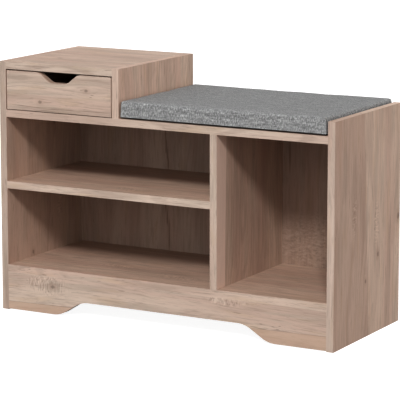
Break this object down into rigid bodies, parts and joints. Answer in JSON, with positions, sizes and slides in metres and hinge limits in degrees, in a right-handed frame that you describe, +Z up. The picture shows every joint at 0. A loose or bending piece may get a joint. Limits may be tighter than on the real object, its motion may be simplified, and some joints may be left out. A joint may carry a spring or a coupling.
{
  "type": "entryway bench",
  "caption": "Low shoe bench with a grey seat cushion, open shelves below it and a drawer tower at one end with a finger notch.",
  "frame": {"origin": "on the floor, at the middle of the footprint", "axes": "+X to the bench's right seen from the front, +Y to its back, +Z up"},
  "size_m": [0.8, 0.318, 0.544],
  "materials": {
    "oak_upright": "matt printed oak, grain upright",
    "oak_board": "matt printed oak, grain along the board",
    "printed_hardboard": "matt printed hardboard",
    "zinc": "satin zinc",
    "beech": "plain beech",
    "white_plastic": "matt nylon",
    "runner_paint": "satin powder coat",
    "linen": "woven grey linen look",
    "foam": "open-cell foam",
    "black_cloth": "black non-woven cloth and hook tape"
  },
  "bodies": {
    "carcass": {"side_panel_left": "oak_upright", "side_panel_right": "oak_upright", "seat_board": "oak_board", "top_board": "oak_board", "bay_wall": "oak_upright", "divider": "oak_upright", "middle_shelf": "oak_board", "bottom_shelf": "oak_board", "apron": "oak_board", "back_panel": "printed_hardboard", "bay_back_panel": "printed_hardboard", "cam_locks": "zinc", "cam_bolts": "zinc", "dowels": "beech", "frame_screws": "zinc", "corner_blocks": "white_plastic", "corner_block_screws": "zinc", "runner_left": "runner_paint", "runner_right": "runner_paint", "runner_screws": "zinc", "front_roller_pins": "zinc", "hook_pads": "black_cloth"},
    "drawer": {"drawer_front": "oak_board", "drawer_side_left": "oak_upright", "drawer_side_right": "oak_upright", "drawer_back": "oak_upright", "drawer_bottom": "printed_hardboard", "drawer_rail_left": "runner_paint", "drawer_rail_right": "runner_paint", "drawer_rail_screws": "zinc", "rear_roller_pins": "zinc", "drawer_cam_locks": "zinc", "drawer_cam_bolts": "zinc", "drawer_dowels": "beech", "drawer_back_screws": "zinc"},
    "front_roller_left": {"front_roller_left": "white_plastic"},
    "front_roller_right": {"front_roller_right": "white_plastic"},
    "rear_roller_left": {"rear_roller_left": "white_plastic"},
    "rear_roller_right": {"rear_roller_right": "white_plastic"},
    "cushion": {"cushion_cover": "linen", "cushion_foam": "foam", "cushion_board": "printed_hardboard", "cushion_underside": "black_cloth", "loop_pads": "black_cloth"}
  },
  "joints": [
    {"name": "drawer_slide", "type": "slide", "parent": "carcass", "child": "drawer", "axis": [0, -1, 0], "range_m": [0, 0.19]},
    {"name": "cushion_lift", "type": "slide", "parent": "carcass", "child": "cushion", "axis": [0, 0, 1], "range_m": [0, 0.12]},
    {"name": "front_roller_left_turn", "type": "hinge", "parent": "carcass", "child": "front_roller_left", "pos_m": [-0.3783, -0.131, 0.45725], "axis": [1, 0, 0], "range_deg": [0, 1380]},
    {"name": "front_roller_right_turn", "type": "hinge", "parent": "carcass", "child": "front_roller_right", "pos_m": [-0.1237, -0.131, 0.45725], "axis": [1, 0, 0], "range_deg": [0, 1380]},
    {"name": "rear_roller_left_turn", "type": "hinge", "parent": "drawer", "child": "rear_roller_left", "pos_m": [-0.3774, 0.099, 0.45725], "axis": [1, 0, 0], "range_deg": [0, 1380]},
    {"name": "rear_roller_right_turn", "type": "hinge", "parent": "drawer", "child": "rear_roller_right", "pos_m": [-0.1246, 0.099, 0.45725], "axis": [1, 0, 0], "range_deg": [0, 1380]}
  ],
  "couplings": [
    {"joint": "front_roller_left_turn", "follows": "drawer_slide", "rad_per_m": 125},
    {"joint": "front_roller_right_turn", "follows": "drawer_slide", "rad_per_m": 125},
    {"joint": "rear_roller_left_turn", "follows": "drawer_slide", "rad_per_m": 125},
    {"joint": "rear_roller_right_turn", "follows": "drawer_slide", "rad_per_m": 125}
  ]
}
